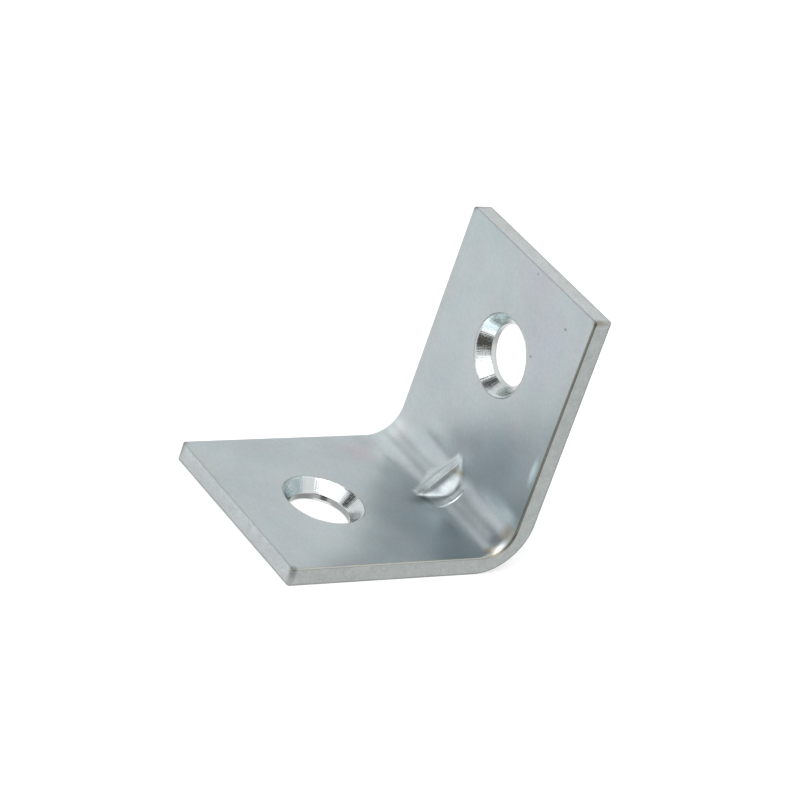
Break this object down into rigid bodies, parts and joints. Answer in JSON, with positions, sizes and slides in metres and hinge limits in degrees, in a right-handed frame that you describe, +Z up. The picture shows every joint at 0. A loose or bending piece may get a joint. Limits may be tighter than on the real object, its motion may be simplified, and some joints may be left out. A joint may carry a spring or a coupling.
{
  "type": "angle bracket",
  "caption": "Small folded steel angle bracket with a countersunk screw hole in each leg and a pressed stiffening rib across the inside of the fold.",
  "frame": {"origin": "bottom centre of the overall size, on the ground under the base leg", "axes": "+X across the width, +Y out of the upright leg's back, +Z up the upright leg"},
  "size_m": [0.02, 0.0248, 0.026],
  "materials": {
    "zinc_plated_steel": "satin bright zinc plating, slightly blue, with shinier countersinks and duller sheared edges"
  },
  "bodies": {
    "root": {"angle_bracket": "zinc_plated_steel"}
  },
  "joints": []
}
